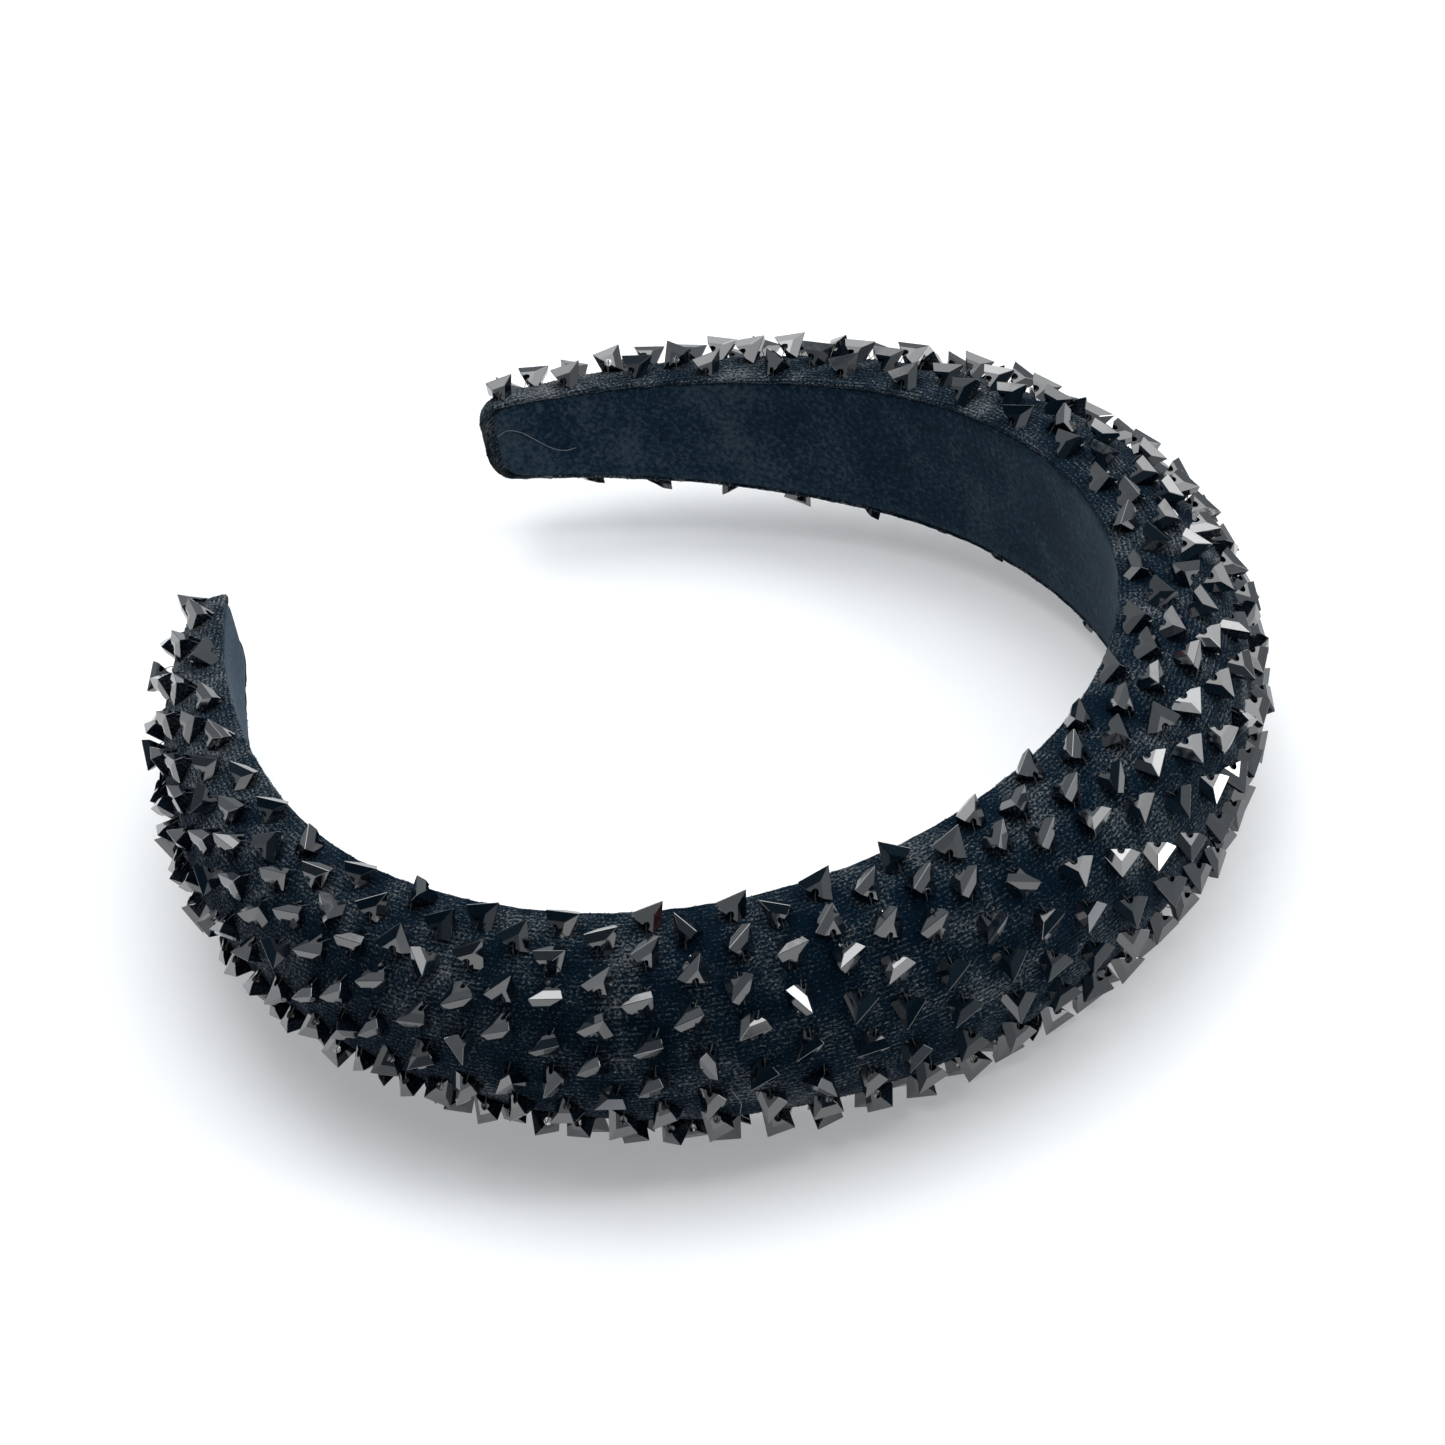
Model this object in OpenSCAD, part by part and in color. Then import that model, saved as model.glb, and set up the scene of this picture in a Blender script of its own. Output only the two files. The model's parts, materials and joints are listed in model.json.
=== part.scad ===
// Padded velvet headband covered in faceted glass beads.
// It lies on its side: +Z runs across the width of the band, +Y points to the crown,
// and X is left and right. The origin is on the surface it lies on, in the middle of its outline.

/* [Hoop curve] */
// Radius of the lining over the crown
crown_radius = 63; // [60:0.5:66]
// Angle from the top where the crown arc ends
crown_angle = 60; // [58:1:64]
// Radius of the lining along the sides
side_radius = 78; // [75:1:82]
// Angle from the top where the sides end
side_angle = 107; // [104:1:110]
// Radius of the lining along the ends
end_radius = 134; // [125:1:140]
// Angle from the top at the two tips
tip_angle = 135; // [133:1:138]

/* [Padded section] */
// Width of the band at the crown
crown_width = 33.4; // [31.6:0.2:34]
// Width of the band at the tips
tip_width = 12.6; // [12:0.2:13.6]
// Thickness of the band at the crown, lining included
crown_height = 16.6; // [15.6:0.2:17.6]
// Thickness of the band at the tips
tip_height = 5.8; // [5.8:0.2:6.6]
// Radius of the tips' corners
tip_corner = 4; // [2:0.5:5]

/* [Layers] */
// Thickness of the lining ribbon
lining = 0.8; // [0.6:0.1:1]
// Thickness of the velvet cover
fabric = 0.7; // [0.6:0.1:0.9]
// Thickness of the plastic hoop
core = 1.7; // [1.4:0.1:2]
// Width of the hem that the cover turns in under the lining
hem = 5; // [4:0.5:6]

/* [Beads] */
// Side of a bead's square outline, seen along its hole
bead_size = 4.1; // [3.7:0.1:4.1]
// Diameter of a bead's hole
bead_hole = 1.2; // [1.2:0.1:1.5]
// Distance between rings of beads, along the lining
ring_pitch = 5.94; // [5.9:0.02:6.4]
// Distance between the beads of one ring
bead_pitch = 6.1; // [5.8:0.1:6.6]
// Diameter of the sewing thread
thread = 0.2; // [0.18:0.02:0.24]

/* [Hidden] */
$fn = 64;

gap = 0.1;              // clearance between layers, more than the facets' sag
rim_radius = 1.6;       // rounding of the cover's edge beside the lining
lining_inset = 0.8;     // the lining stops this far inside the band's edge
core_inset = 3.2;       // the hoop stops this far inside the band's edge
glue_end = 45;          // the glue bed stops this far from the tips
width_power = 1.8;      // how late the band narrows towards the tips
height_power = 4.2;     // how late the padding thins towards the tips
squareness = 0.9;       // 1 is a true half ellipse, less is fuller at the shoulders
half_rings = 28;        // sections swept on each side of the crown
rim_place = 0.1;        // the first bead of a ring is this far from the rim, in steps
shoulder_gap = 1;       // degrees by which beads keep away from the section's shoulders
dome_step = 15;         // degrees between a section's points
splice = 1;             // an arc's end is buried this far in the one before it
splice_step = 0.02;     // and is this much thinner on each face, so that the two make one solid

mid_height = 21.21;     // height of the band's middle plane above the surface
crown_shift = 4.23;     // the crown arc's centre lies this far towards the crown from the origin

// The hoop curve: three arcs a side, each tangent to the next
function degrees(radians) = radians * 180 / PI;
function arc_length(radius, angle) = radius * angle * PI / 180;
function outward(angle) = [sin(angle), cos(angle)];
crown_end = arc_length(crown_radius, crown_angle);
side_end = crown_end + arc_length(side_radius, side_angle - crown_angle);
half_length = side_end + arc_length(end_radius, tip_angle - side_angle);
crown_centre = [0, crown_shift];
side_centre = crown_centre + (crown_radius - side_radius) * outward(crown_angle);
end_centre = side_centre + (side_radius - end_radius) * outward(side_angle);

// Everything below is a function of s, the distance along the lining from the top of the crown,
// negative on the left
function turn(s) = sign(s) * (
    abs(s) < crown_end ? degrees(abs(s) / crown_radius)
    : abs(s) < side_end ? crown_angle + degrees((abs(s) - crown_end) / side_radius)
    : side_angle + degrees((abs(s) - side_end) / end_radius));
function arc_radius(s) = abs(s) < crown_end ? crown_radius : abs(s) < side_end ? side_radius : end_radius;
function arc_centre(s) = let (c = abs(s) < crown_end ? crown_centre : abs(s) < side_end ? side_centre : end_centre)
    [sign(s) * c.x, c.y];
// The point that is n out from the lining's inner face and z across from the middle
function point_at(s, z, n) = let (p = arc_centre(s) + (arc_radius(s) + n) * outward(turn(s)))
    [p.x, p.y, mid_height + z];

// Size of the section
function share(s) = abs(s) / half_length;
function corner(s, r) = let (e = half_length - abs(s)) e < r ? r - sqrt(max(0, r * r - (r - e) * (r - e))) : 0;
function band_width(s) = tip_width + (crown_width - tip_width) * (1 - pow(share(s), width_power));
function half_width(s) = band_width(s) / 2 - corner(s, tip_corner);
function height(s) = tip_height + (crown_height - tip_height) * (1 - pow(share(s), height_power))
    - corner(s, tip_corner / 2);

// A section is a list of [z, n]: a dome over a flat base, as a full-shouldered half ellipse
function signed_pow(x, p) = sign(x) * pow(abs(x), p);
function dome(w, base, top) = [for (phi = [0:dome_step:180])
    [w * signed_pow(cos(phi), squareness), base + (top - base) * pow(abs(sin(phi)), squareness)]];
function cover_section(s, inset) = let (
        w = half_width(s) - inset,
        base = lining + gap + inset,
        r = rim_radius - inset)
    concat(
        [for (a = [-90:30:-30]) [w - r + r * cos(a), base + r + r * sin(a)]],
        dome(w, base + r, height(s) - inset),
        [for (a = [-30:-30:-90]) [-w + r - r * cos(a), base + r + r * sin(a)]]);
foam_base = lining + fabric + core + 3 * gap;
function foam_section(s) = dome(0.96 * (half_width(s) - fabric) - gap, foam_base, height(s) - fabric - gap);

// A solid swept through a section at every station, closer together towards the tips
function stations(reach) = [for (i = [-half_rings:half_rings]) let (x = i / half_rings)
    reach * (1.25 * x - 0.25 * pow(x, 5))];
function loft_faces(rings, sides) = concat(
    [[for (j = [sides - 1:-1:0]) j]],
    [[for (j = [0:sides - 1]) (rings - 1) * sides + j]],
    [for (i = [0:rings - 2], j = [0:sides - 1], half = [0, 1]) let (
            a = i * sides + j,
            b = i * sides + (j + 1) % sides)
        half == 0 ? [a, b + sides, a + sides] : [a, b, b + sides]]);
module loft(places, sections) {
    points = [for (i = [0:len(places) - 1], p = sections[i]) point_at(places[i], p[0], p[1])];
    polyhedron(points = points, faces = loft_faces(len(places), len(sections[0])));
}
module swept_cover(reach, inset) {
    places = stations(reach);
    loft(places, [for (s = places) cover_section(s, inset)]);
}

// A strip that follows the hoop between n and n + thick, true round, cut to its width
module arc_strip(centre, radius, from_angle, to_angle, n, thick) {
    translate([centre.x, centre.y, 0]) rotate([0, 0, 90 - to_angle])
        rotate_extrude(angle = to_angle - from_angle)
            translate([radius + n, 0]) square([thick, 2 * mid_height]);
}
module spliced_arc(centre, radius, from_angle, to_angle, n, thick, count) {
    arc_strip(centre, radius, from_angle - degrees(splice / radius), to_angle,
        n + count * splice_step, thick - 2 * count * splice_step);
}
module taper(inset, reach) {
    side = [for (i = [0:24]) let (s = reach * i / 24) [point_at(s, 0, 0).y, half_width(s) - inset]];
    tip = point_at(reach, 0, 0).y - 10;
    over_crown = crown_shift + crown_radius + 10;
    outline = concat([[over_crown, side[0][1]]], side, [[tip, side[24][1]]]);
    mirrored = [for (i = [len(outline) - 1:-1:0]) [outline[i][0], -outline[i][1]]];
    translate([-2 * crown_radius, 0, mid_height]) rotate([90, 0, 90])
        linear_extrude(4 * crown_radius) polygon(concat(outline, mirrored));
}
module strip(n, thick, inset, reach) {
    intersection() {
        union() {
            arc_strip(crown_centre, crown_radius, -crown_angle, crown_angle, n, thick);
            for (side = [0, 1]) mirror([side, 0, 0]) {
                spliced_arc(side_centre, side_radius, crown_angle, side_angle, n, thick, 1);
                spliced_arc(end_centre, end_radius, side_angle, turn(reach), n, thick, 2);
            }
        }
        taper(inset, reach);
    }
}

// The layers
module core_band() {
    color("ivory") strip(lining + fabric + 2 * gap, core, core_inset, half_length - 2.5);
}
module foam_pad() {
    places = stations(half_length - 3);
    color("whitesmoke") loft(places, [for (s = places) foam_section(s)]);
}
module velvet_cover() {
    color([0.03, 0.035, 0.045]) difference() {
        swept_cover(half_length, 0);
        swept_cover(half_length - fabric, fabric);
        strip(lining / 2, 2 * fabric, rim_radius + hem, half_length - glue_end);
    }
}
module lining_glue() {
    color("wheat") strip(lining, fabric + gap, rim_radius + hem + gap, half_length - glue_end - gap);
}
module inner_lining() {
    color([0.02, 0.02, 0.03]) strip(0, lining, lining_inset, half_length - 1.2);
}

// A bead: a four-faced glass drop with its edges bevelled twice, drilled from ridge to ridge
b = bead_size / 2;      // half the square outline
ridge_slope = 1.3;      // how steeply the four main faces meet
face_reach = 1.4 * b;   // how far out the main faces lie
bevel_tilt = 0.55;      // how far the side bevels lean
half_ridge = (b - bevel_tilt * face_reach) / (1 - bevel_tilt);
half_bead = face_reach / ridge_slope;
half_corner = b / ridge_slope;
waist = (2 * half_ridge - face_reach) / ridge_slope;
m = half_ridge;
bead_points = [
    [m, m, half_bead], [-m, -m, half_bead], [m, -m, -half_bead], [-m, m, -half_bead],
    [b, b, half_corner], [-b, -b, half_corner], [b, -b, -half_corner], [-b, b, -half_corner],
    [m, -m, -waist], [-m, m, -waist], [m, m, waist], [-m, -m, waist]
];
bead_faces = [
    [0, 8, 1], [1, 9, 0], [2, 10, 3], [3, 11, 2],
    [0, 4, 6, 8], [1, 8, 6, 5], [1, 5, 7, 9], [0, 9, 7, 4],
    [2, 6, 4, 10], [3, 10, 4, 7], [3, 7, 5, 11], [2, 11, 5, 6]
];
module bead() {
    difference() {
        polyhedron(points = bead_points, faces = bead_faces);
        cylinder(h = 3 * b, d = bead_hole, center = true);
    }
}

// Where the beads sit: rings across the band, every second ring set off by half a bead
tip_margin = 2.2;
ring_count = floor(2 * (half_length - tip_margin) / ring_pitch) + 1;
function ring_place(i) = (i - (ring_count - 1) / 2) * ring_pitch;
function girth(s) = let (w = half_width(s), t = height(s)) PI / 2 * (3 * (w + t) - sqrt((3 * w + t) * (w + 3 * t)));
function across(i) = max(3, round(girth(ring_place(i)) / bead_pitch + 0.4));
function ring_size(i) = across(i) - i % 2;
// A repeatable scatter between -1 and 1
function scatter(i, k, what) = let (x = 61803.4 * sin(127.1 * i + 311.7 * k + 74.7 * what)) 2 * (x - floor(x)) - 1;

module on_cover(i, k) {
    s = ring_place(i) + 0.6 * scatter(i, k, 1);
    turned = 180 * (k + rim_place + (i % 2) / 2 + 0.08 * scatter(i, k, 2)) / (across(i) - 1 + 2 * rim_place);
    phi = turned - shoulder_gap * sin(4 * turned);
    base = lining + gap + rim_radius;
    w = half_width(s);
    top = height(s) - base;
    z = w * signed_pow(cos(phi), squareness);
    n = base + top * pow(sin(phi), squareness);
    away = [signed_pow(cos(phi), 2 - squareness) / w, pow(sin(phi), 2 - squareness) / top];
    out = [sin(turn(s)), cos(turn(s)), 0];
    along = [cos(turn(s)), -sin(turn(s)), 0];
    up = (away[0] * [0, 0, 1] + away[1] * out) / norm(away);
    yaw = 12 + 22 * scatter(i, k, 3);
    hole = cos(yaw) * cross(up, along) + sin(yaw) * along;
    side = cross(up, hole);
    p = point_at(s, z, n);
    multmatrix([
        [side.x, up.x, hole.x, p.x],
        [side.y, up.y, hole.y, p.y],
        [side.z, up.z, hole.z, p.z],
        [0, 0, 0, 1]
    ]) children();
}
// Most beads lie with the same side up
function roll(i, k) = (scatter(i, k, 4) > -0.6 ? 90 : 0) + 16 * scatter(i, k, 5);
function lift(i, k) = gap / 2 - min([for (p = bead_points) p.x * sin(roll(i, k)) + p.y * cos(roll(i, k))]);

module sewn_bead(i, k) {
    on_cover(i, k) translate([0, lift(i, k), 0]) rotate([0, 0, roll(i, k)]) bead();
}
// A stitch arches through the hole and goes into the velvet close to the bead's two ends
stitch_radius = half_bead + 0.18;
module stitch(i, k) {
    centre = lift(i, k) + 0.76 * bead_hole / 2 - stitch_radius;
    dip = asin((centre + 0.2) / stitch_radius);
    on_cover(i, k) translate([0, centre, 0]) rotate([0, -90, 0]) rotate([0, 0, -dip])
        rotate_extrude(angle = 180 + 2 * dip) translate([stitch_radius, 0]) circle(d = thread);
}

// The zones along the band, from the left tip to the right one
zone_count = 9;
function zone_start(zone) = round(zone * ring_count / zone_count);
module bead_zone(zone) {
    color([0.04, 0.045, 0.06])
        for (i = [zone_start(zone):zone_start(zone + 1) - 1], k = [1:ring_size(i) - 2]) sewn_bead(i, k);
}
module stitch_zone(zone) {
    color([0.05, 0.05, 0.06])
        for (i = [zone_start(zone):zone_start(zone + 1) - 1], k = [0:ring_size(i) - 1]) stitch(i, k);
}
module beads_left_tip() { bead_zone(0); }
module beads_left_arm() { bead_zone(1); }
module beads_left_side() { bead_zone(2); }
module beads_left_crown() { bead_zone(3); }
module beads_crown() { bead_zone(4); }
module beads_right_crown() { bead_zone(5); }
module beads_right_side() { bead_zone(6); }
module beads_right_arm() { bead_zone(7); }
module beads_right_tip() { bead_zone(8); }
module beads_upper_rim() {
    color([0.04, 0.045, 0.06]) for (i = [0:ring_count - 1]) sewn_bead(i, 0);
}
module beads_lower_rim() {
    color([0.04, 0.045, 0.06]) for (i = [0:ring_count - 1]) sewn_bead(i, ring_size(i) - 1);
}
module stitches_left_tip() { stitch_zone(0); }
module stitches_left_arm() { stitch_zone(1); }
module stitches_left_side() { stitch_zone(2); }
module stitches_left_crown() { stitch_zone(3); }
module stitches_crown() { stitch_zone(4); }
module stitches_right_crown() { stitch_zone(5); }
module stitches_right_side() { stitch_zone(6); }
module stitches_right_arm() { stitch_zone(7); }
module stitches_right_tip() { stitch_zone(8); }

core_band();
foam_pad();
velvet_cover();
lining_glue();
inner_lining();
beads_left_tip();
beads_left_arm();
beads_left_side();
beads_left_crown();
beads_crown();
beads_right_crown();
beads_right_side();
beads_right_arm();
beads_right_tip();
beads_upper_rim();
beads_lower_rim();
stitches_left_tip();
stitches_left_arm();
stitches_left_side();
stitches_left_crown();
stitches_crown();
stitches_right_crown();
stitches_right_side();
stitches_right_arm();
stitches_right_tip();
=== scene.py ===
import json
import math

import bmesh
import bpy
import numpy as np
from mathutils import Matrix, Vector, kdtree, noise


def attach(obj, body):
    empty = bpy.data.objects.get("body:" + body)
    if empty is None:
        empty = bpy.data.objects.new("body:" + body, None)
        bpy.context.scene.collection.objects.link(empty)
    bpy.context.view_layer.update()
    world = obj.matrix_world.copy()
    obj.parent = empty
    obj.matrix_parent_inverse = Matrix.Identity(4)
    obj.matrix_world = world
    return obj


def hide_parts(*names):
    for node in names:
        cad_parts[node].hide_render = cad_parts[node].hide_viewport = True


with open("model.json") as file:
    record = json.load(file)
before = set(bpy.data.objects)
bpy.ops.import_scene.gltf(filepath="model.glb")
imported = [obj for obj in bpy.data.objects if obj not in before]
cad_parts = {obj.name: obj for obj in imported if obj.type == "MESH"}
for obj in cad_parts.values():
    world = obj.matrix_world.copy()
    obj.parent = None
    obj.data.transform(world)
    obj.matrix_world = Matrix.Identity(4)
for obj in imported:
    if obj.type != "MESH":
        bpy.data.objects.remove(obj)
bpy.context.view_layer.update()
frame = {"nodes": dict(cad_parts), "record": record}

MM = 0.001
ROOT = "root"
ZONES = ("left_tip", "left_arm", "left_side", "left_crown", "crown",
         "right_crown", "right_side", "right_arm", "right_tip")
BEAD_NODES = ["beads_" + zone for zone in ZONES] + ["beads_upper_rim", "beads_lower_rim"]

# ---------------------------------------------------------------- the hoop curve

# The head clamp gives the crown arc: its radius, its centre and the band's middle plane.
clamp = frame["record"]["mounts"][0]
CROWN_RADIUS = clamp["dims"]["r_mm"] * MM
CENTRE = np.array(clamp["pos_m"], float)
# The same three arcs a side as the CAD model's: where each ends, and the two wider radii.
CROWN_END = math.radians(60)
SIDE_RADIUS = 0.078
SIDE_END = math.radians(107)
END_RADIUS = 0.134
TIP_END = math.radians(135)
ARCS = ((CROWN_RADIUS, CROWN_END), (SIDE_RADIUS, SIDE_END), (END_RADIUS, TIP_END))

# The section, from the middle of the lining's inner face, with the velvet's pile left out.
CROWN_WIDTH = 0.0334
TIP_WIDTH = 0.0126
CROWN_HEIGHT = 0.0166
TIP_HEIGHT = 0.0058
WIDTH_POWER = 1.8
HEIGHT_POWER = 4.2
SQUARENESS = 0.9
RIM_RADIUS = 0.0008      # rounding of the rim beside the lining
LINING = 0.0008
PILE = 0.0013            # the pile stands this far out of the CAD model's cover
TIP_CORNER = 0.0042      # radius of the tips' corners, seen from the head
TIP_EDGE = 0.0022        # rounding of the tips' ends
LINING_GAP = 0.0001      # between the lining and the velvet under it
LINING_PAST = 0.0005     # the lining reaches this far past the CAD model's cover, into the pile
RIM_RISE = 0.0011        # the pile beside the lining stands this far towards the head


def arc_ends():
    """Distances along the lining at which the arcs end, and each arc's centre on the right-hand side."""
    centre = CENTRE[:2].copy()
    place = start = 0.0
    out = []
    for i, (radius, end) in enumerate(ARCS):
        if i:
            before = ARCS[i - 1]
            centre = centre + (before[0] - radius) * np.array([math.sin(before[1]), math.cos(before[1])])
        place += radius * (end - start)
        out.append((place, radius, start, centre))
        start = end
    return out


ARC_ENDS = arc_ends()
HALF_LENGTH = ARC_ENDS[-1][0]


def hoop(s):
    """The point of the lining's inner face at s, the way out of the hoop there and the way along it."""
    side = -1.0 if s < 0 else 1.0
    far = abs(s)
    before = 0.0
    for place, radius, start, centre in ARC_ENDS:
        if far <= place or place == HALF_LENGTH:
            angle = start + (far - before) / radius
            break
        before = place
    out = Vector((side * math.sin(angle), math.cos(angle), 0.0))
    along = Vector((math.cos(angle), -side * math.sin(angle), 0.0))
    return Vector((side * centre[0], centre[1], CENTRE[2])) + radius * out, out, along


def share(s):
    """How far s is from the crown's middle: 0 there, 1 at a tip."""
    return min(1.0, abs(s) / HALF_LENGTH)


def half_width(s):
    """Half the cover's width at s."""
    return (TIP_WIDTH + (CROWN_WIDTH - TIP_WIDTH) * (1 - share(s) ** WIDTH_POWER)) / 2


def height(s):
    """How far the cover's top stands out from the lining's inner face at s."""
    return TIP_HEIGHT + (CROWN_HEIGHT - TIP_HEIGHT) * (1 - share(s) ** HEIGHT_POWER)


def quarter(past, radius):
    """How far a rounded corner has drawn in, past the place where it starts."""
    past = min(max(past, 0.0), radius)
    return radius - math.sqrt(radius * radius - past * past)


def signed_power(x, p):
    """x to the power p, with the sign of x."""
    return math.copysign(abs(x) ** p, x)


# ---------------------------------------------------------------- meshes

def add_mesh(name, points, faces, smooth=True):
    """A new object of those points and faces, linked to the scene."""
    mesh = bpy.data.meshes.new(name)
    mesh.from_pydata([tuple(p) for p in points], [], faces)
    mesh.validate()
    mesh.polygons.foreach_set("use_smooth", [smooth] * len(mesh.polygons))
    piece = bpy.data.objects.new(name, mesh)
    bpy.context.scene.collection.objects.link(piece)
    return piece


def at(s, z, n):
    """The point that is n out from the lining's inner face and z across from the middle."""
    place, out, _ = hoop(s)
    return place + n * out + Vector((0.0, 0.0, z))


def tube_faces(first, rings, sides):
    """The faces between rings of points, the first point of the first ring being first."""
    faces = []
    for i in range(rings - 1):
        for j in range(sides):
            a = first + i * sides + j
            b = first + i * sides + (j + 1) % sides
            faces.append((a, b, b + sides, a + sides))
    return faces


def stations(reach, step, corner):
    """Places from tip to tip, a step apart, and closer together round the tips' corners."""
    straight = reach - corner
    count = round(straight / step)
    half = [straight * i / count for i in range(count)]
    half += [straight + corner * math.sin(math.radians(a)) for a in range(0, 91, 15)]
    return [-s for s in reversed(half[1:])] + half


END_LOOPS = (0.6, 0.25)  # sizes of the loops that close a swept end, as shares of its section


def sweep(name, places, section):
    """A closed tube through section(s) at every place, with a UV of (along, across) in millimetres."""
    rings = [section(s) for s in places]
    sides = len(rings[0])
    points = [at(s, z, n) for s, ring in zip(places, rings) for z, n in ring]
    faces = tube_faces(0, len(places), sides)
    for end, ring in ((0, 0), (len(places) - 1, (len(places) - 1) * sides)):
        loops = [list(range(ring, ring + sides))]
        for shrink in END_LOOPS:
            z0, n0 = (sum(row) / sides for row in zip(*rings[end]))
            loops.append(list(range(len(points), len(points) + sides)))
            points += [at(places[end], z0 + (z - z0) * shrink, n0 + (n - n0) * shrink) for z, n in rings[end]]
        points.append(at(places[end], z0, n0))
        middle = len(points) - 1
        for outer, inner in zip(loops, loops[1:]):
            for j in range(sides):
                k = (j + 1) % sides
                quad = (outer[j], inner[j], inner[k], outer[k])
                faces.append(quad if end else quad[::-1])
        for j in range(sides):
            k = (j + 1) % sides
            tri = (loops[-1][j], middle, loops[-1][k])
            faces.append(tri if end else tri[::-1])
    piece = add_mesh(name, points, faces)
    girths = [np.concatenate([[0], np.cumsum(np.linalg.norm(np.diff(np.array(ring), axis=0), axis=1))])
              for ring in rings]
    around = [(i, j) for i in range(len(places)) for j in range(sides)]
    across = {i * sides + j: (girths[i][j] - girths[i][-1] / 2) / MM for i, j in around}
    along = {i * sides + j: places[i] / MM for i, j in around}
    layer = piece.data.uv_layers.new(name="cloth")
    for loop in piece.data.loops:
        v = loop.vertex_index
        layer.data[loop.index].uv = (along.get(v, places[-1] / MM), across.get(v, 0.0))
    return piece


def tree_of(places):
    """A tree that finds which of those places are near a point."""
    tree = kdtree.KDTree(len(places))
    for index, place in enumerate(places):
        tree.insert(place, index)
    tree.balance()
    return tree


HOOP_STEPS = 800
hoop_points = [hoop(HALF_LENGTH * (2 * i / HOOP_STEPS - 1))[0] for i in range(HOOP_STEPS + 1)]
hoop_tree = tree_of(hoop_points)


def hoop_near(point):
    """The point of the middle of the lining's inner face that is nearest to a point of the band."""
    return hoop_points[hoop_tree.find(point)[1]]


STRIP_SHARES = (-0.97, -0.9, -0.6, -0.2, 0.2, 0.6, 0.9, 0.97)    # places across the strip under the lining
RIM_TURNS = (-90, -60, -30)
DOME_POINTS = 60


def velvet_section(s):
    """(z, n) round the velvet: flat under the lining, a rolled rim on each side, and a full dome."""
    past = abs(s) - (HALF_LENGTH + PILE - TIP_CORNER)
    edge = abs(s) - (HALF_LENGTH + PILE - TIP_EDGE)
    w = half_width(s) + PILE - quarter(past, TIP_CORNER)
    top = height(s) + PILE - quarter(edge, TIP_EDGE)
    under = LINING + LINING_GAP + 0.5 * quarter(edge, TIP_EDGE)
    base = under - RIM_RISE
    lining_edge = w - PILE + LINING_PAST
    strip = [lining_edge * t for t in STRIP_SHARES]
    r = RIM_RADIUS
    rim = [(w - r + r * math.cos(a), base + r + r * math.sin(a)) for a in map(math.radians, RIM_TURNS)]
    dome = []
    for i in range(DOME_POINTS + 1):
        phi = math.pi * i / DOME_POINTS
        dome.append((w * signed_power(math.cos(phi), SQUARENESS),
                     base + r + (top - base - r) * max(0.0, math.sin(phi)) ** SQUARENESS))
    return [(z, under) for z in strip] + rim + dome + [(-z, n) for z, n in reversed(rim)]


SAME_PLACE = 1e-6        # points closer than this are one point


def islands(node_name):
    """The separate solids of a CAD node, as arrays of points."""
    mesh = frame["nodes"][node_name].data
    points = np.empty(len(mesh.vertices) * 3)
    mesh.vertices.foreach_get("co", points)
    points = points.reshape(-1, 3)
    _, same = np.unique(np.round(points / SAME_PLACE).astype(int), axis=0, return_inverse=True)
    same = same.ravel()
    edges = np.empty(len(mesh.edges) * 2, int)
    mesh.edges.foreach_get("vertices", edges)
    edges = same[edges.reshape(-1, 2)]
    label = np.arange(same.max() + 1)
    while True:
        low = label.copy()
        np.minimum.at(low, edges[:, 0], label[edges[:, 1]])
        np.minimum.at(low, edges[:, 1], label[edges[:, 0]])
        low = low[low]
        if (low == label).all():
            break
        label = low
    owner = label[same]
    return [points[owner == k] for k in np.unique(owner)]


bead_solids = [solid for name in BEAD_NODES for solid in islands(name)]
bead_tree = tree_of([Vector((solid.min(0) + solid.max(0)) / 2) for solid in bead_solids])

# ---------------------------------------------------------------- materials

def material(name, **sockets):
    """A Principled material, its plain values set on the shader's own sockets."""
    made = bpy.data.materials.new(name)
    made.use_nodes = True
    shader = made.node_tree.nodes["Principled BSDF"]
    for socket, value in sockets.items():
        shader.inputs[socket.replace("_", " ")].default_value = value
    return made, made.node_tree, shader


def node(tree, kind, inputs=(), **settings):
    """A new node, its inputs set or linked and its settings set."""
    made = tree.nodes.new(kind)
    for key, value in settings.items():
        setattr(made, key, value)
    for socket, value in dict(inputs).items():
        if isinstance(value, bpy.types.NodeSocket):
            tree.links.new(value, made.inputs[socket])
        else:
            made.inputs[socket].default_value = value
    return made


def ramp(tree, factor, stops):
    """Colour or grey as a function of factor: stops are (position, (r, g, b))."""
    made = node(tree, "ShaderNodeValToRGB", {"Fac": factor})
    for element, (place, colour) in zip(made.color_ramp.elements, (stops[0], stops[-1])):
        element.position = place
        element.color = (*colour, 1)
    for place, colour in stops[1:-1]:
        made.color_ramp.elements.new(place).color = (*colour, 1)
    return made.outputs["Color"]


def multiply(tree, a, b):
    """a times b."""
    return node(tree, "ShaderNodeMath", {0: a, 1: b}, operation="MULTIPLY").outputs["Value"]


def add(tree, a, b):
    """a plus b."""
    return node(tree, "ShaderNodeMath", {0: a, 1: b}, operation="ADD").outputs["Value"]


def multiply_add(tree, a, b, c):
    """a times b, plus c."""
    return node(tree, "ShaderNodeMath", {0: a, 1: b, 2: c}, operation="MULTIPLY_ADD").outputs["Value"]


def spread_over(tree, value, low, high, to_low, to_high):
    """A value between low and high, carried over to the range from to_low to to_high."""
    return node(tree, "ShaderNodeMapRange", {"Value": value, "From Min": low, "From Max": high,
                                             "To Min": to_low, "To Max": to_high}).outputs["Result"]


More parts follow.
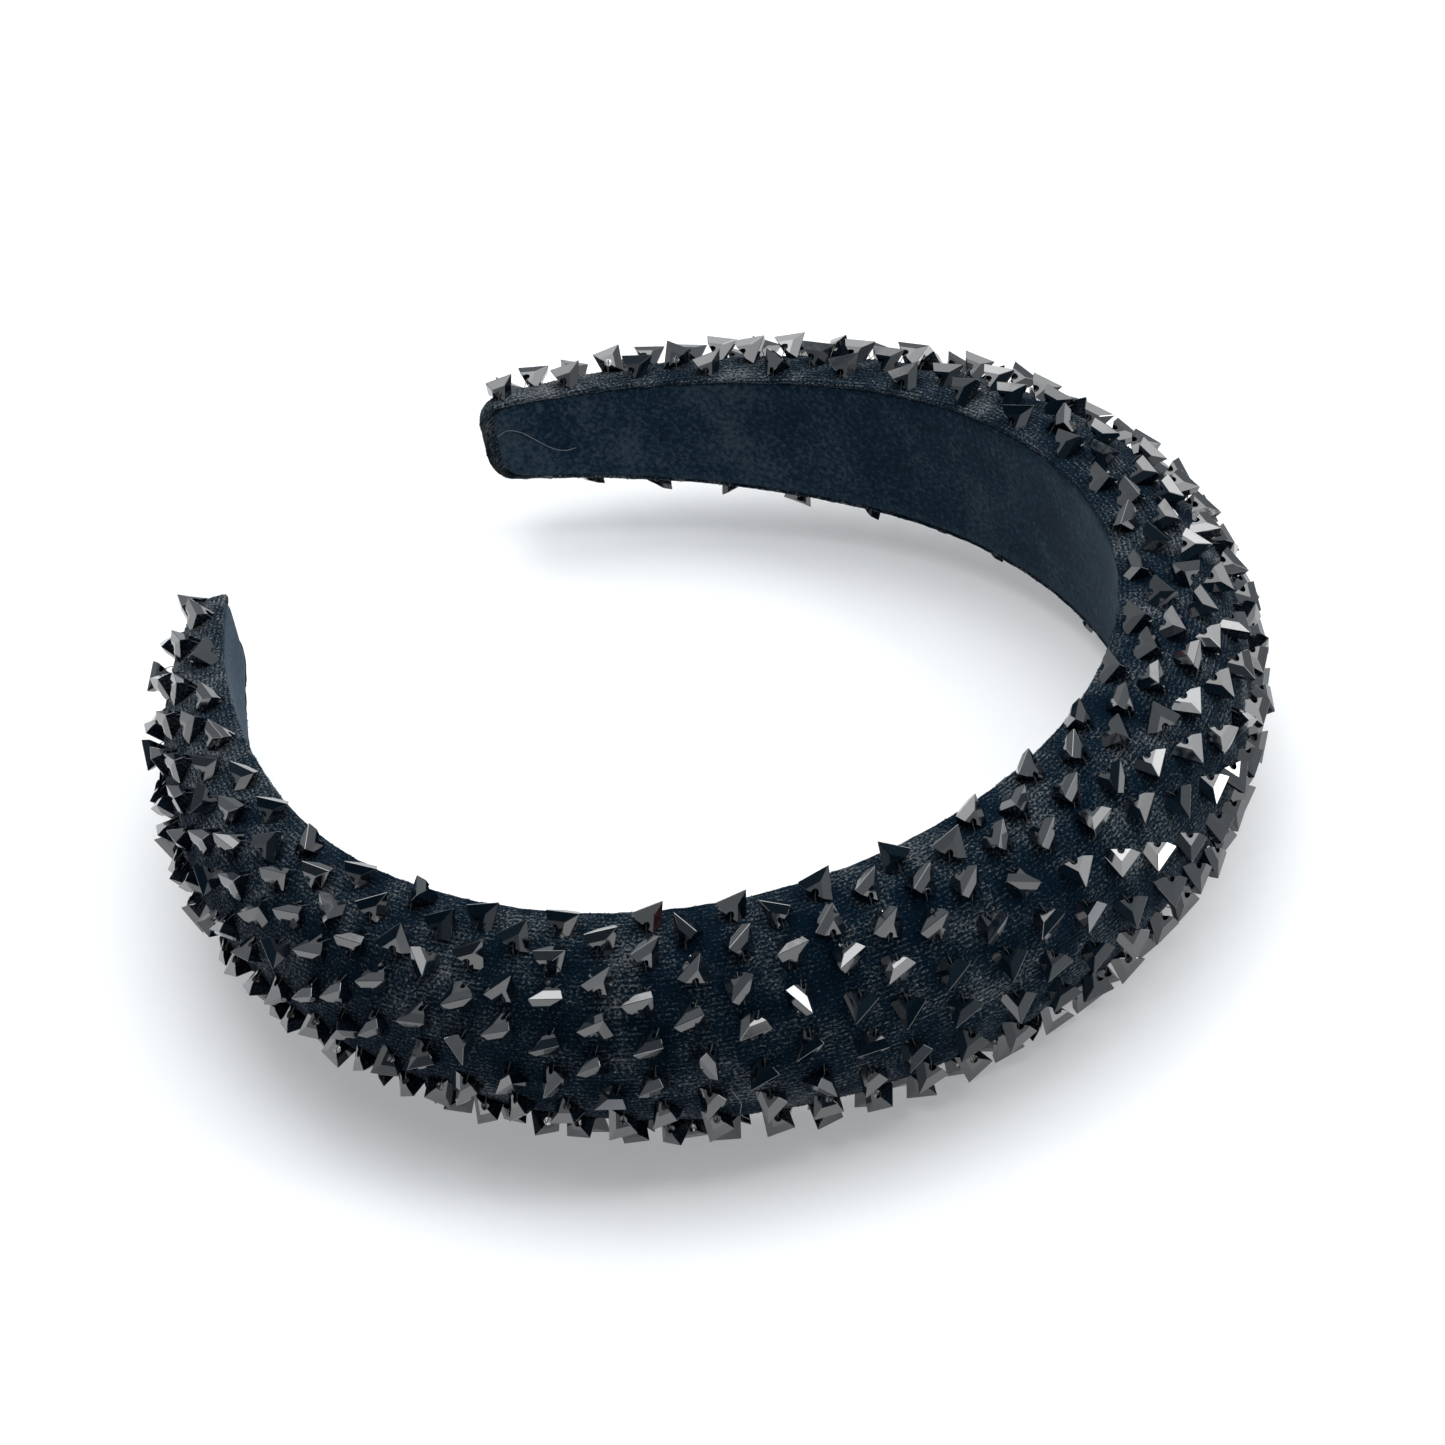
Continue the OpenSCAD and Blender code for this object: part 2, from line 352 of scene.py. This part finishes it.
def cloud(tree, place, scale, detail, roughness=0.5):
    """Noise at the scale and place."""
    return node(tree, "ShaderNodeTexNoise", {"Vector": place, "Scale": scale, "Detail": detail,
                                             "Roughness": roughness}).outputs["Fac"]


def bump(tree, shader, rise, strength, distance):
    """Small relief on the shader's surface."""
    relief = node(tree, "ShaderNodeBump", {"Height": rise, "Strength": strength, "Distance": distance})
    tree.links.new(relief.outputs["Normal"], shader.inputs["Normal"])


def painted_tip_glare(tree, place, most):
    """0 over the crown, rising to most at the two tips: painted glare, which makes the fabrics look lighter
    there.
    """
    lie = node(tree, "ShaderNodeSeparateXYZ", {"Vector": place}).outputs["Y"]
    return spread_over(tree, lie, 0.0, -0.08, 0.0, most)


def object_place(tree):
    """The place on the object, in metres."""
    return node(tree, "ShaderNodeTexCoord").outputs["Object"]


def velvet_material():
    """Very dark pile with a light grain, denser where it is crushed, in wales that run along the band."""
    made, tree, shader = material("black_velvet", Roughness=0.95, Sheen_Roughness=0.4,
                                  Sheen_Tint=(0.8, 0.88, 0.95, 1), Specular_IOR_Level=0.05)
    place = object_place(tree)
    cloth = node(tree, "ShaderNodeUVMap", uv_map="cloth").outputs["UV"]
    stretched = node(tree, "ShaderNodeVectorMath", {0: cloth, 1: (2.3, 2.7, 1.0)}, operation="MULTIPLY")
    tufts = cloud(tree, stretched.outputs["Vector"], 1.0, 2.0, 0.65)
    crush = cloud(tree, place, 115.0, 3.0, 0.6)
    wales = node(tree, "ShaderNodeTexWave", {"Vector": cloth, "Scale": 0.4, "Distortion": 4.0, "Detail": 2.0,
                                             "Detail Scale": 0.3},
                 wave_type="BANDS", bands_direction="Y").outputs["Fac"]
    spread = add(tree, multiply(tree, wales, 0.055), multiply(tree, crush, 0.42))
    # painted glare: the velvet's grain, and with it its sheen, is lightened towards the tips
    spread = add(tree, spread, painted_tip_glare(tree, place, 0.06))
    grain = multiply_add(tree, tufts, 0.62, spread)
    colour = ramp(tree, grain, (
        (0.505, (0.0006, 0.0075, 0.017)),
        (0.575, (0.004, 0.014, 0.026)),
        (0.635, (0.052, 0.062, 0.070)),
        (0.715, (0.18, 0.19, 0.195))))
    tree.links.new(colour, shader.inputs["Base Color"])
    tree.links.new(spread_over(tree, grain, 0.49, 0.72, 0.012, 0.28), shader.inputs["Sheen Weight"])
    bump(tree, shader, grain, 1.0, 0.0009)
    return made


def fibre_material():
    """The velvet's tufts, most of them as dark as its base and a few of them light."""
    made, tree, shader = material("velvet_fibre", Roughness=0.8, Sheen_Weight=0.05, Specular_IOR_Level=0.1)
    each = node(tree, "ShaderNodeNewGeometry").outputs["Random Per Island"]
    # painted glare: the tufts are lightened towards the tips
    colour = ramp(tree, add(tree, each, painted_tip_glare(tree, object_place(tree), 0.16)), (
        (0.0, (0.0006, 0.007, 0.016)),
        (0.6, (0.003, 0.012, 0.024)),
        (0.88, (0.04, 0.05, 0.06)),
        (1.0, (0.13, 0.14, 0.15))))
    tree.links.new(colour, shader.inputs["Base Color"])
    return made


def lining_material():
    """Matt dark cloth with a fine grain, a little worn in patches."""
    made, tree, shader = material("lining_cloth", Roughness=0.9, Sheen_Weight=0.12, Sheen_Roughness=0.4,
                                  Sheen_Tint=(0.55, 0.72, 0.9, 1), Specular_IOR_Level=0.1)
    place = object_place(tree)
    grain = cloud(tree, place, 1200.0, 3.0, 0.7)
    worn = cloud(tree, place, 90.0, 2.0)
    shade = multiply_add(tree, worn, 0.35, multiply(tree, grain, 0.65))
    # painted glare: the lining is lightened towards the tips
    shade = add(tree, shade, painted_tip_glare(tree, place, 0.06))
    colour = ramp(tree, shade, (
        (0.41, (0.0006, 0.008, 0.020)),
        (0.51, (0.003, 0.017, 0.034)),
        (0.66, (0.030, 0.048, 0.066))))
    tree.links.new(colour, shader.inputs["Base Color"])
    bump(tree, shader, grain, 0.8, 0.0002)
    return made


def glass_material():
    """Black crystal: one or two of the beads are clear, and a few are tinged with red."""
    made, tree, shader = material("black_crystal", Roughness=0.04, IOR=1.7, Specular_IOR_Level=0.9)
    each = node(tree, "ShaderNodeNewGeometry").outputs["Random Per Island"]
    red = (0.03, 0.010, 0.012)
    colour = ramp(tree, each, (
        (0.0, (0.001, 0.003, 0.006)),
        (0.6, (0.003, 0.007, 0.012)),
        (0.985, (0.008, 0.014, 0.02)),
        (0.99, red),
        (0.993, red),
        (0.996, (0.3, 0.31, 0.33))))
    tree.links.new(colour, shader.inputs["Base Color"])
    smear = cloud(tree, object_place(tree), 900.0, 2.0)
    tree.links.new(spread_over(tree, smear, 0.3, 0.8, 0.03, 0.12), shader.inputs["Roughness"])
    return made


def thread_material():
    """Black sewing thread, unevenly twisted."""
    made, tree, shader = material("sewing_thread", Roughness=0.45, Specular_IOR_Level=0.6, Sheen_Weight=0.4)
    ply = cloud(tree, object_place(tree), 3000.0, 1.0)
    colour = ramp(tree, ply, ((0.3, (0.008, 0.01, 0.014)), (0.7, (0.03, 0.034, 0.04))))
    tree.links.new(colour, shader.inputs["Base Color"])
    return made


def plain_material(name, dark, light, roughness, scale, depth):
    """For the pieces inside: a mottled colour and a slightly uneven surface."""
    made, tree, shader = material(name, Roughness=roughness)
    mottle = cloud(tree, object_place(tree), scale, 4.0)
    tree.links.new(ramp(tree, mottle, ((0.3, dark), (0.7, light))), shader.inputs["Base Color"])
    bump(tree, shader, mottle, 0.4, depth)
    return made


def dress(piece, made):
    """Gives the piece that one material."""
    piece.data.materials.clear()
    piece.data.materials.append(made)


# ---------------------------------------------------------------- the velvet

VELVET_STEP = 0.00135    # between the swept sections
DIMPLE_DEPTH = 0.0001    # how deep the velvet is pulled in under a bead
DIMPLE_REACH = 0.0022    # how far from the bead that fades
BEAD_REACH = 0.0016      # the velvet within this far of a bead's centre is pulled in all the way
BEADS_WITHIN = 0.009     # beads farther than this don't pull a point in
SWELL = 0.00035          # the most that the velvet swells between the beads
HOLD = 1.2               # in the simulation, the stitches hold this much more firmly than they dimple
CRUMPLE = 0.00012        # the small unevenness of the pile
CRUMPLE_SCALE = 330.0


def coordinates(mesh):
    """The mesh's points, as an array."""
    points = np.empty(len(mesh.vertices) * 3)
    mesh.vertices.foreach_get("co", points)
    return points.reshape(-1, 3)


def set_coordinates(mesh, points):
    """Moves the mesh's points there."""
    mesh.vertices.foreach_set("co", points.ravel())
    mesh.update()


def vertex_normals(mesh):
    """The way out of the mesh at each of its points."""
    normals = np.empty(len(mesh.vertices) * 3)
    mesh.vertex_normals.foreach_get("vector", normals)
    return normals.reshape(-1, 3)


def pulled_in(points):
    """How far the nearest stitches hold each point down: 1 under a bead, 0 well away from them."""
    held = np.zeros(len(points))
    for i, point in enumerate(points):
        for _, _, far in bead_tree.find_range(point, BEADS_WITHIN):
            held[i] = max(held[i], math.exp(-(max(0.0, far - BEAD_REACH) / DIMPLE_REACH) ** 2))
    return held


CLOTH_FRAMES = 12
CLOTH_SCALE = 20.0       # the cloth is simulated this much larger than it is
CLOTH_PRESSURE = 4.0
MOST_MOVED = 90          # this percentile of the moves becomes the swell


def swollen(piece, hold):
    """How far each point of cloth over foam swells under pressure: least where hold is high."""
    work = piece.copy()
    work.data = piece.data.copy()
    bpy.context.scene.collection.objects.link(work)
    rest = coordinates(work.data)
    set_coordinates(work.data, rest * CLOTH_SCALE)
    group = work.vertex_groups.new(name="held")
    for index, weight in enumerate(hold):
        group.add([index], float(weight), "REPLACE")
    cloth = work.modifiers.new("swell", "CLOTH")
    cloth.settings.vertex_group_mass = "held"
    cloth.settings.use_pressure = True
    cloth.settings.uniform_pressure_force = CLOTH_PRESSURE
    cloth.settings.effector_weights.gravity = 0.0
    cloth.settings.quality = 4
    cloth.point_cache.frame_start = 1
    cloth.point_cache.frame_end = CLOTH_FRAMES
    for at_frame in range(1, CLOTH_FRAMES + 1):
        bpy.context.scene.frame_set(at_frame)
    baked = work.evaluated_get(bpy.context.evaluated_depsgraph_get()).data
    moves = coordinates(baked) / CLOTH_SCALE - rest
    bpy.data.objects.remove(work)
    bpy.context.scene.frame_set(1)
    far = np.linalg.norm(moves, axis=1)
    wanted = SWELL / max(1e-9, np.percentile(far, MOST_MOVED))
    eased = np.tanh(far * wanted / SWELL) * SWELL
    return moves * (eased / np.maximum(far, 1e-12))[:, None]


def subdivide(piece):
    """Gives the piece its own mesh, subdivided once."""
    bpy.context.view_layer.update()
    piece.modifiers.new("finer", "SUBSURF").levels = 1
    finer = bpy.data.meshes.new_from_object(piece.evaluated_get(bpy.context.evaluated_depsgraph_get()))
    piece.modifiers.clear()
    piece.data = finer
    finer.polygons.foreach_set("use_smooth", [True] * len(finer.polygons))


velvet = sweep("velvet", stations(HALF_LENGTH + PILE, VELVET_STEP, TIP_CORNER), velvet_section)
flat_points = coordinates(velvet.data)
ways_out = vertex_normals(velvet.data)
bend = pulled_in(flat_points)
# The strip beside and under the lining is glued down: there, the way out leads back to the hoop's face.
LEADS_BACK = -0.0004
under_lining = np.array([(point - np.array(hoop_near(point))) @ way < LEADS_BACK
                         for point, way in zip(flat_points, ways_out)])
dimpled = flat_points - ways_out * (bend * DIMPLE_DEPTH * ~under_lining)[:, None]
set_coordinates(velvet.data, dimpled)
moves = swollen(velvet, np.where(under_lining, 1.0, np.clip(bend * HOLD, 0, 1)))
set_coordinates(velvet.data, dimpled + moves)
subdivide(velvet)
points = coordinates(velvet.data)
crumpled = np.array([noise.fractal(Vector(p) * CRUMPLE_SCALE, 0.6, 2.0, 3) for p in points])
set_coordinates(velvet.data, points + vertex_normals(velvet.data) * (CRUMPLE * crumpled)[:, None])
dress(velvet, velvet_material())
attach(velvet, ROOT)
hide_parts("velvet_cover")

# ---------------------------------------------------------------- the velvet's pile

FIBRES = 45000
FIBRE_LENGTH = 0.00045
FIBRE_RADIUS = 0.00009
FIBRE_LEAN = 0.35        # how far the tufts lean at random, against their length
FIBRE_ROOT = 0.0001      # how deep they are sunk in the base
FIBRE_SEED = 11
FIBRE_ASKEW = np.array([0.31, 0.52, 0.79])    # any fixed way: a way across each tuft is found from it
LENGTHS = (0.6, 1.3)     # the shortest and the longest tuft, as shares of the fibre's length
WIDTHS = (0.7, 1.3)
TUFT_TURNS = (0, 120, 240)


def pile(name, base):
    """Tufts of pile that stand out of the base: closed slivers that lean every way."""
    mesh = base.data
    mesh.calc_loop_triangles()
    corners = np.empty(len(mesh.loop_triangles) * 3, int)
    mesh.loop_triangles.foreach_get("vertices", corners)
    corners = corners.reshape(-1, 3)
    points = coordinates(mesh)
    normals = vertex_normals(mesh)
    a, b, c = (points[corners[:, i]] for i in range(3))
    areas = np.linalg.norm(np.cross(b - a, c - a), axis=1)
    pick = np.random.default_rng(FIBRE_SEED)
    chosen = pick.choice(len(corners), FIBRES, p=areas / areas.sum())
    u = pick.random(FIBRES)
    v = pick.random(FIBRES)
    over = u + v > 1
    u[over] = 1 - u[over]
    v[over] = 1 - v[over]
    feet = a[chosen] + u[:, None] * (b - a)[chosen] + v[:, None] * (c - a)[chosen]
    out = normals[corners[chosen, 0]]
    lean = pick.normal(size=(FIBRES, 3)) * FIBRE_LEAN
    tips = out + lean
    tips /= np.linalg.norm(tips, axis=1)[:, None]
    long = FIBRE_LENGTH * pick.uniform(*LENGTHS, FIBRES)
    across = np.cross(tips, FIBRE_ASKEW)
    across /= np.linalg.norm(across, axis=1)[:, None]
    third = np.cross(tips, across)
    sunk = feet - out * FIBRE_ROOT
    wide = FIBRE_RADIUS * pick.uniform(*WIDTHS, FIBRES)
    ring = [sunk + wide[:, None] * (math.cos(turn) * across + math.sin(turn) * third)
            for turn in map(math.radians, TUFT_TURNS)]
    tufts = np.stack(ring + [feet + tips * long[:, None]], axis=1).reshape(-1, 3)
    sides = np.array([[0, 2, 1], [0, 1, 3], [1, 2, 3], [2, 0, 3]])
    first = np.arange(FIBRES) * 4
    faces = (first[:, None, None] + sides).reshape(-1, 3).tolist()
    return add_mesh(name, tufts, faces, smooth=False)


velvet_pile = pile("velvet_pile", velvet)
dress(velvet_pile, fibre_material())
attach(velvet_pile, ROOT)

# ---------------------------------------------------------------- the lining

LINING_REACH = HALF_LENGTH - 0.0012    # the lining stops just short of the tips
LINING_CORNER = 0.003
LINING_EDGE = 0.0003
LINING_STEP = 0.002


def lining_section(s):
    """(z, n) round the lining: a thin strip with chamfered edges."""
    w = half_width(s) + LINING_PAST - quarter(abs(s) - (LINING_REACH - LINING_CORNER), LINING_CORNER)
    r = LINING_EDGE
    across = [w * t / 6 for t in range(-6, 7)]
    inner = [(z * (w - r) / w, 0.0) for z in across]
    outer = [(z * (w - r) / w, LINING) for z in reversed(across)]
    return inner + [(w, r), (w, LINING - r)] + outer + [(-w, LINING - r), (-w, r)]


lining = sweep("lining_strip", stations(LINING_REACH, LINING_STEP, LINING_CORNER), lining_section)
dress(lining, lining_material())
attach(lining, ROOT)
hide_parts("inner_lining")

# ---------------------------------------------------------------- beads, stitches and what is inside

BEAD_BEVEL = 0.00006
LONG_EDGE = 0.0004       # only edges longer than this are bevelled, so the drilled hole's stay as they are
SHARP = math.radians(20)
FLAT = math.radians(1)
MERGED = 0.000005        # points closer than this are merged


def cut_glass(name, node_name, made):
    """A zone's beads as in the CAD model, their long edges bevelled by a hair so that they catch light."""
    bm = bmesh.new()
    bm.from_mesh(frame["nodes"][node_name].data)
    bmesh.ops.remove_doubles(bm, verts=bm.verts, dist=MERGED)
    bmesh.ops.dissolve_limit(bm, angle_limit=FLAT, verts=bm.verts, edges=bm.edges)
    sharp = [edge for edge in bm.edges if edge.calc_length() > LONG_EDGE and edge.calc_face_angle(0) > SHARP]
    bmesh.ops.bevel(bm, geom=sharp, offset=BEAD_BEVEL, offset_type="OFFSET", segments=1, profile=0.5,
                    affect="EDGES", clamp_overlap=True)
    bmesh.ops.recalc_face_normals(bm, faces=bm.faces)
    mesh = bpy.data.meshes.new(name)
    bm.to_mesh(mesh)
    bm.free()
    mesh.polygons.foreach_set("use_smooth", [False] * len(mesh.polygons))
    piece = bpy.data.objects.new(name, mesh)
    bpy.context.scene.collection.objects.link(piece)
    dress(piece, made)
    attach(piece, ROOT)
    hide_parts(node_name)


glass = glass_material()
for name in BEAD_NODES:
    cut_glass(name.replace("beads", "crystals"), name, glass)

THREAD_SIDES = 8
THREAD_STEPS = 22
THREAD_TIGHT = 0.7       # the thread is drawn tight, thinner than its CAD model


def stitch_arc(solid):
    """The arc that a CAD stitch follows: its centre, its three ways, its radius, its thread's and its dip."""
    middle = solid.mean(axis=0)
    _, _, ways = np.linalg.svd(solid - middle, full_matrices=False)
    along, out, across = ways
    if np.dot(out, middle - np.array(hoop_near(middle))) < 0:
        out = -out
    spans = [np.ptp(solid @ way) for way in (along, out, across)]
    thread_radius = spans[2] / 2
    radius = spans[0] / 2 - thread_radius
    centre = middle + along * ((solid @ along).max() + (solid @ along).min() - 2 * middle @ along) / 2
    top = (solid @ out).max() - thread_radius
    centre = centre + out * (top - radius - centre @ out)
    reach = radius - (top + thread_radius - (solid @ out).min())
    return centre, along, out, across, radius, thread_radius, math.asin(max(-1, min(1, -reach / radius)))


def sew(name, node_name, made):
    """Light arcs of thread in place of a zone's CAD stitches."""
    points, faces = [], []
    for solid in islands(node_name):
        centre, along, out, across, radius, thread_radius, dip = stitch_arc(solid)
        first = len(points)
        thread_radius *= THREAD_TIGHT
        for i in range(THREAD_STEPS + 1):
            angle = -dip + (math.pi + 2 * dip) * i / THREAD_STEPS
            away = math.cos(angle) * along + math.sin(angle) * out
            for j in range(THREAD_SIDES):
                turn = 2 * math.pi * j / THREAD_SIDES
                points.append(centre + away * (radius + thread_radius * math.cos(turn))
                              + across * thread_radius * math.sin(turn))
        faces += tube_faces(first, THREAD_STEPS + 1, THREAD_SIDES)
        last = first + THREAD_STEPS * THREAD_SIDES
        faces.append([first + j for j in reversed(range(THREAD_SIDES))])
        faces.append([last + j for j in range(THREAD_SIDES)])
    piece = add_mesh(name, points, faces)
    dress(piece, made)
    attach(piece, ROOT)
    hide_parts(node_name)


STRAND_RADIUS = 0.00007
STRAND_SIDES = 6
STRAND_STEPS = 8         # between two places of its route
STRAND_ASKEW = Vector((0.2, 0.3, 0.93))    # a way that no strand runs along


def strand(name, route, made):
    """A loose end of thread along a smooth route of (s, z, n) places, in millimetres."""
    spots = [at(s * MM, z * MM, n * MM) for s, z, n in route]
    path = []
    for i in range(len(spots) - 1):
        p0, p1, p2, p3 = (spots[min(max(j, 0), len(spots) - 1)] for j in (i - 1, i, i + 1, i + 2))
        for t in (k / STRAND_STEPS for k in range(STRAND_STEPS)):
            path.append(0.5 * (2 * p1 + (p2 - p0) * t + (2 * p0 - 5 * p1 + 4 * p2 - p3) * t ** 2
                               + (3 * p1 - p0 - 3 * p2 + p3) * t ** 3))
    path.append(spots[-1])
    points = []
    for i, spot in enumerate(path):
        ahead = (path[min(i + 1, len(path) - 1)] - path[max(i - 1, 0)]).normalized()
        over = ahead.cross(STRAND_ASKEW).normalized()
        under = ahead.cross(over)
        for j in range(STRAND_SIDES):
            turn = 2 * math.pi * j / STRAND_SIDES
            points.append(spot + STRAND_RADIUS * (math.cos(turn) * over + math.sin(turn) * under))
    faces = tube_faces(0, len(path), STRAND_SIDES)
    faces.append(list(reversed(range(STRAND_SIDES))))
    faces.append([len(points) - STRAND_SIDES + j for j in range(STRAND_SIDES)])
    piece = add_mesh(name, points, faces)
    dress(piece, made)
    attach(piece, ROOT)


thread = thread_material()
for zone in ZONES:
    sew("thread_" + zone, "stitches_" + zone, thread)

lint, _, _ = material("loose_thread", Base_Color=(0.16, 0.17, 0.19, 1), Roughness=0.6)
strand("loose_thread_lining", (
    (-194.0, 1.6, -0.1), (-192.2, 2.6, -0.2), (-190.0, 1.9, -0.15), (-188.0, 0.2, -0.15),
    (-185.8, -1.7, -0.15), (-183.6, -2.5, -0.2), (-181.5, -2.2, -0.1)), lint)
strand("loose_thread_arm", (
    (48.6, -3.0, 18.0), (48.2, -4.2, 18.1), (47.8, -6.2, 17.7), (48.3, -9.4, 16.5),
    (47.7, -13.4, 13.5)), lint)

# the CAD pieces inside: their material, its dark and light colours, roughness, scale and relief
INSIDE = {
    "core_band": ("hoop_plastic", (0.62, 0.59, 0.52), (0.74, 0.71, 0.64), 0.5, 300, 5e-5),
    "foam_pad": ("foam", (0.6, 0.6, 0.56), (0.8, 0.8, 0.76), 0.95, 1500, 2e-4),
    "lining_glue": ("fabric_glue", (0.5, 0.42, 0.26), (0.66, 0.58, 0.4), 0.35, 400, 1e-4),
}
for name, looks in INSIDE.items():
    dress(frame["nodes"][name], plain_material(*looks))

# ---------------------------------------------------------------- floor, light and camera

FLOOR_REACH = 3.0
floor_mesh = bpy.data.meshes.new("floor")
floor_corners = [(x * FLOOR_REACH, y * FLOOR_REACH, 0) for x, y in ((-1, -1), (1, -1), (1, 1), (-1, 1))]
floor_mesh.from_pydata(floor_corners, [], [(0, 1, 2, 3)])
floor = bpy.data.objects.new("floor", floor_mesh)
bpy.context.scene.collection.objects.link(floor)
floor_paint, _, _ = material("floor_paint", Base_Color=(0.74, 0.75, 0.76, 1), Roughness=0.9,
                             Specular_IOR_Level=0.1, Emission_Color=(0.98, 0.99, 1.0, 1),
                             Emission_Strength=0.3)
dress(floor, floor_paint)


def direction(azimuth, elevation):
    """The way from the object towards that azimuth and elevation, in degrees."""
    a, e = math.radians(azimuth), math.radians(elevation)
    return Vector((math.sin(a) * math.cos(e), -math.cos(a) * math.cos(e), math.sin(e)))


world = bpy.data.worlds.new("studio")
world.use_nodes = True
sky = world.node_tree
# a white tent, open and dark to the left of where the object is seen from
towards = node(sky, "ShaderNodeTexCoord").outputs["Generated"]
opening = node(sky, "ShaderNodeVectorMath", {0: towards, 1: direction(98, 46)}, operation="DOT_PRODUCT")
tent = ramp(sky, opening.outputs["Value"], (
    (0.60, (0.53, 0.56, 0.58)),
    (0.78, (0.08, 0.10, 0.12)),
    (0.86, (0.01, 0.02, 0.03))))
sky.links.new(tent, sky.nodes["Background"].inputs["Color"])
sky.nodes["Background"].inputs["Strength"].default_value = 1.0
bpy.context.scene.world = world


def softbox(name, azimuth, elevation, distance, size, power):
    """A square area light that looks at the crown arc's centre from that direction."""
    away = direction(azimuth, elevation)
    light = bpy.data.lights.new(name, "AREA")
    light.shape = "SQUARE"
    light.size = size
    light.energy = power
    lamp = bpy.data.objects.new(name, light)
    lamp.location = Vector(CENTRE) + away * distance
    lamp.rotation_euler = away.to_track_quat("Z", "Y").to_euler()
    bpy.context.scene.collection.objects.link(lamp)


# their azimuth and elevation in degrees, distance and size in metres, and power in watts
softbox("back_light", 325, 60, 1.2, 0.9, 6)
softbox("top_light", 10, 82, 1.2, 0.9, 5)
softbox("right_light", 235, 60, 1.2, 0.9, 5)
softbox("spark_light", 212, 42, 1.1, 0.2, 1.6)

# The camera looks at the crown arc's centre, on the band's middle plane. Its roll stands for the
# real band's tilt, since that one's crown is propped up.
AZIMUTH = 143.9
ELEVATION = 38.05
ROLL = math.radians(-12.93)
DISTANCE = 0.927
back = direction(AZIMUTH, ELEVATION)
right = direction(AZIMUTH + 90, 0)
up = back.cross(right)
turned_right = math.cos(ROLL) * right + math.sin(ROLL) * up
turned_up = math.cos(ROLL) * up - math.sin(ROLL) * right
lens = bpy.data.cameras.new("camera")
lens.lens = 150.0
lens.sensor_width = 36.0
lens.shift_x = -0.0032
lens.shift_y = -0.0015
lens.clip_start = 0.05
lens.clip_end = 20
camera = bpy.data.objects.new("camera", lens)
camera.matrix_world = Matrix.Translation(Vector(CENTRE) + back * DISTANCE) @ Matrix(
    (turned_right, turned_up, back)).transposed().to_4x4()
bpy.context.scene.collection.objects.link(camera)
bpy.context.scene.camera = camera
bpy.context.scene.view_settings.view_transform = "Standard"
